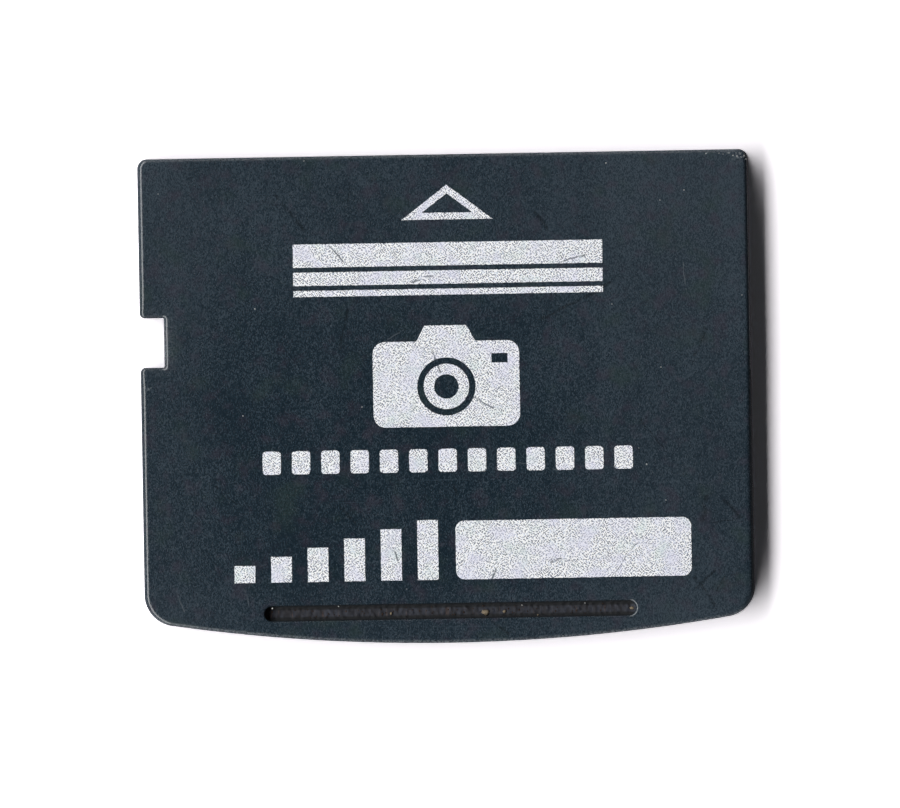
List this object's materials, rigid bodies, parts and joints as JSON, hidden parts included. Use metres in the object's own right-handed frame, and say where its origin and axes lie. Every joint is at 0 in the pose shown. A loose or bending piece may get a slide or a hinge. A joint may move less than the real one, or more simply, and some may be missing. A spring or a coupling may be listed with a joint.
{
  "type": "camera memory card",
  "caption": "Flat flash memory card for a camera: thin moulded case with a bowed grip edge, a finger groove, a side notch and flat contacts on its back.",
  "frame": {"origin": "middle of the card's 25 by 20 mm outline, on its back face", "axes": "+X to the right across the card as its front is read, +Y towards the contact edge that goes into the slot first, +Z out of the printed front face"},
  "size_m": [0.025, 0.02, 0.0018],
  "materials": {
    "case_front": "dark slate moulded plastic with a fine mottled grain, scratched by use",
    "case_back": "dark slate moulded plastic, fine grain",
    "board": "dark green solder resist",
    "package": "black moulding compound, fine sparked texture",
    "capacitor": "tan ceramic, unglazed",
    "contact_gold": "hard gold plating with fine wipe marks",
    "silver_ink": "silver screen-printed ink, fine sparkle, scratched by use"
  },
  "bodies": {
    "root": {"front_cover": "case_front", "back_cover": "case_back", "circuit_board": "board", "memory_package": "package", "capacitor_1": "capacitor", "capacitor_2": "capacitor", "contact_01": "contact_gold", "contact_02": "contact_gold", "contact_03": "contact_gold", "contact_04": "contact_gold", "contact_05": "contact_gold", "contact_06": "contact_gold", "contact_07": "contact_gold", "contact_08": "contact_gold", "contact_09": "contact_gold", "contact_10": "contact_gold", "contact_11": "contact_gold", "contact_12": "contact_gold", "contact_13": "contact_gold", "contact_14": "contact_gold", "contact_15": "contact_gold", "contact_16": "contact_gold", "contact_17": "contact_gold", "contact_18": "contact_gold", "arrow_print": "silver_ink", "stripe_print": "silver_ink", "camera_print": "silver_ink", "block_print": "silver_ink", "gauge_print": "silver_ink", "write_on_panel": "silver_ink"}
  },
  "joints": []
}
